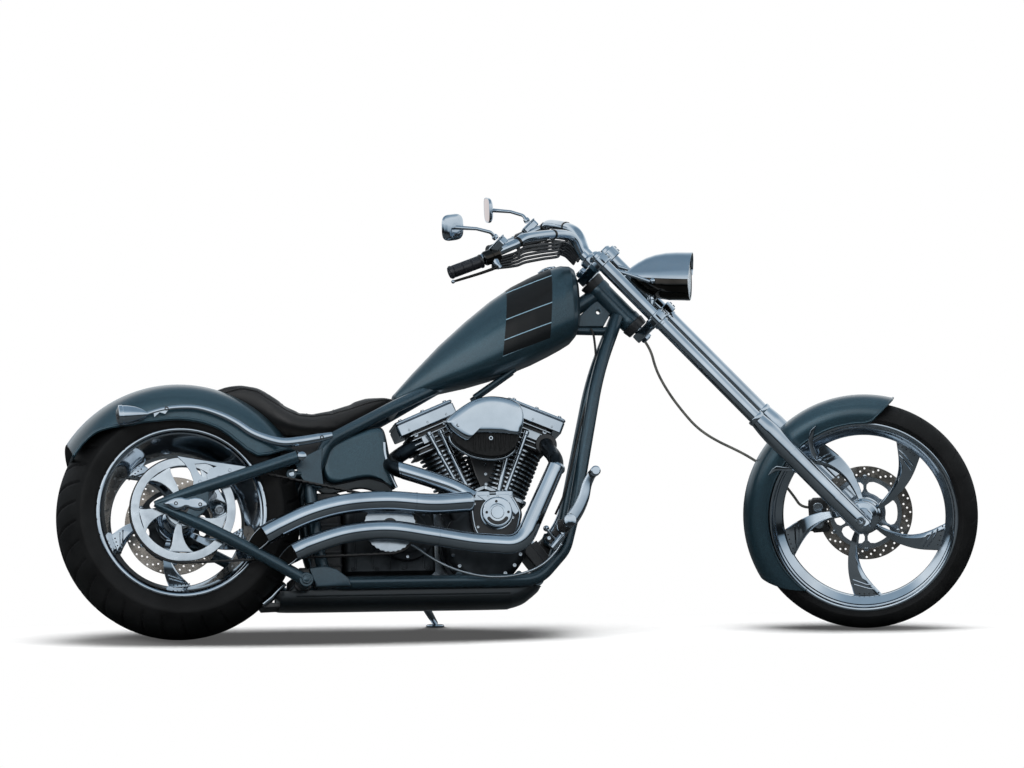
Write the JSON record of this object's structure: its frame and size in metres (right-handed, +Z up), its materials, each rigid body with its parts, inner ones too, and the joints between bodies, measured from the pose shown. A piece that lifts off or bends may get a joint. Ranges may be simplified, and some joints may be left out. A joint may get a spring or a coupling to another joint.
{
  "type": "chopper motorcycle",
  "caption": "Long low chopper motorcycle leaning on its side stand: two wheels, raked fork, V-twin engine, teardrop tank, solo seat and belt drive.",
  "frame": {"origin": "middle of the parked machine's footprint box, on the floor", "axes": "+X towards the front, +Y to the rider's left, +Z up"},
  "size_m": [2.7203, 0.9932, 1.2903],
  "materials": {
    "tyre": "matt black tread rubber",
    "chrome": "bright plated chrome",
    "disc_steel": "ground steel",
    "cast_aluminium": "satin cast aluminium",
    "belt_rubber": "moulded black rubber",
    "frame_paint": "gloss metallic teal blue paint",
    "body_paint": "gloss metallic teal blue paint",
    "black_enamel": "satin black enamel",
    "steel_line": "bright steel tube",
    "leather": "black leather over foam"
  },
  "bodies": {
    "chassis": {"air_cleaner": "chrome", "belly_pan": "black_enamel", "cam_cover": "chrome", "carburettor": "chrome", "cylinders": "black_enamel", "drive_belt": "belt_rubber", "drive_pulley": "cast_aluminium", "engine_case": "cast_aluminium", "exhaust_pipes": "chrome", "fender_struts": "chrome", "forward_controls": "chrome", "frame": "frame_paint", "fuel_cap": "chrome", "fuel_tank": "body_paint", "oil_tank": "body_paint", "primary_cover": "cast_aluminium", "pushrod_tubes": "chrome", "rear_axle": "chrome", "rear_brake_line": "steel_line", "rear_caliper": "cast_aluminium", "rear_fender": "body_paint", "rocker_boxes": "chrome", "seat": "leather", "swingarm": "frame_paint", "swingarm_pivot": "chrome", "transmission": "cast_aluminium", "turn_signals": "chrome"},
    "fork": {"front_axle": "chrome", "front_caliper": "cast_aluminium", "front_fender": "body_paint", "fork_tubes": "chrome", "fork_legs": "chrome", "lower_clamp": "chrome", "top_clamp": "chrome", "handlebar": "chrome", "grips": "belt_rubber", "hand_controls": "chrome", "mirrors": "chrome", "headlight": "chrome", "front_brake_hose": "belt_rubber"},
    "front_wheel": {"front_tyre": "tyre", "front_wheel": "chrome", "front_brake_disc": "disc_steel"},
    "rear_wheel": {"rear_tyre": "tyre", "rear_wheel": "chrome", "rear_pulley": "chrome", "rear_brake_disc": "disc_steel"},
    "side_stand": {"side_stand": "frame_paint"}
  },
  "joints": [
    {"name": "steering", "type": "hinge", "parent": "chassis", "child": "fork", "pos_m": [0.29709, -0.05961, 0.96201], "axis": [-0.6869, 0.1424, 0.7126], "range_deg": [-7, 49]},
    {"name": "front_wheel_spin", "type": "hinge", "parent": "fork", "child": "front_wheel", "pos_m": [1.02036, -0.21712, 0.33654], "axis": [0.2604, 0.9637, 0.0585], "continuous": true},
    {"name": "rear_wheel_spin", "type": "hinge", "parent": "chassis", "child": "rear_wheel", "pos_m": [-1.01534, -0.18105, 0.3543], "axis": [0, 0.9806, -0.1959], "continuous": true},
    {"name": "side_stand_fold", "type": "hinge", "parent": "chassis", "child": "side_stand", "pos_m": [-0.29538, -0.06513, 0.10765], "axis": [0.0486, 0.4832, 0.8742], "range_deg": [0, 85]}
  ]
}
